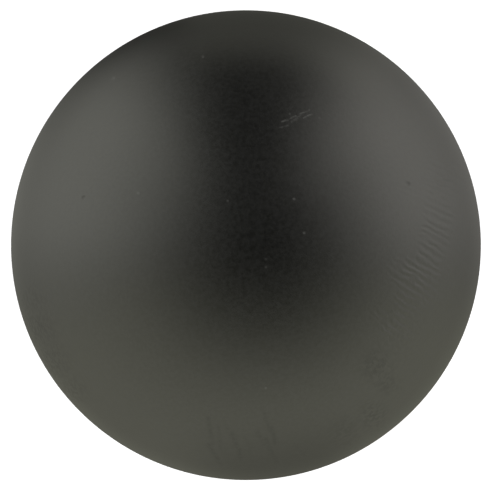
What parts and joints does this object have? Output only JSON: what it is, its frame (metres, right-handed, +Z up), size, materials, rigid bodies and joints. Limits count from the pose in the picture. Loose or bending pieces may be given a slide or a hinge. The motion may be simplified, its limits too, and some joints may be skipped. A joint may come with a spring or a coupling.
{
  "type": "lawn bowl",
  "caption": "Black lawn bowl, a ball slightly flattened along its axis, with a plain side and a loaded bias side that has a flat foot and an inlaid, pinned disc.",
  "frame": {"origin": "centre of the flat foot that the bowl lies on, at the pole of its bias side", "axes": "+Z up along the bowl's axis, from the bias side to the plain side; X and Y are alike, with the mount's four pins half way between them"},
  "size_m": [0.124, 0.124, 0.1147],
  "materials": {
    "black_composition": "satin",
    "bung_composition": "matte",
    "load_metal": "matte",
    "mount_disc": "satin",
    "pin_brass": "satin"
  },
  "bodies": {
    "root": {"bowl_body": "black_composition", "bias_load": "load_metal", "load_bung": "bung_composition", "bias_mount": "mount_disc", "mount_pin_1": "pin_brass", "mount_pin_2": "pin_brass", "mount_pin_3": "pin_brass", "mount_pin_4": "pin_brass"}
  },
  "joints": []
}
